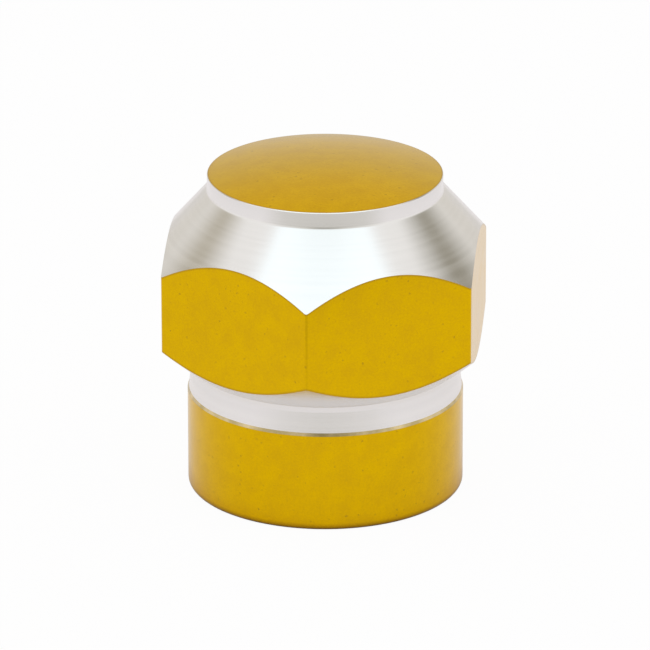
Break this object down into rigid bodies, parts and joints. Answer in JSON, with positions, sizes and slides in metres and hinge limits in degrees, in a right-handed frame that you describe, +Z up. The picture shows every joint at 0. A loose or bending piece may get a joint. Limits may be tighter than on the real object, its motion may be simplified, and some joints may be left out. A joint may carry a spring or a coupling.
{
  "type": "tyre valve cap",
  "caption": "Hexagonal turned metal valve cap for a tyre: coned crown with a low domed top, grooved neck, round collar, and a blind threaded socket that seals on a rubber washer.",
  "frame": {"origin": "centre of the open rim that the cap stands on", "axes": "+Z up the cap's axis, from the open rim to the domed top; a corner of the hexagon points along -Y and its flats face +X and -X"},
  "size_m": [0.011, 0.0126, 0.0122],
  "materials": {
    "anodised_aluminium": "satin yellow dyed anodising, with the cone, crown band and neck turned bare",
    "washer_rubber": "matte black moulded rubber"
  },
  "bodies": {
    "root": {"cap_body": "anodised_aluminium", "sealing_washer": "washer_rubber"}
  },
  "joints": []
}
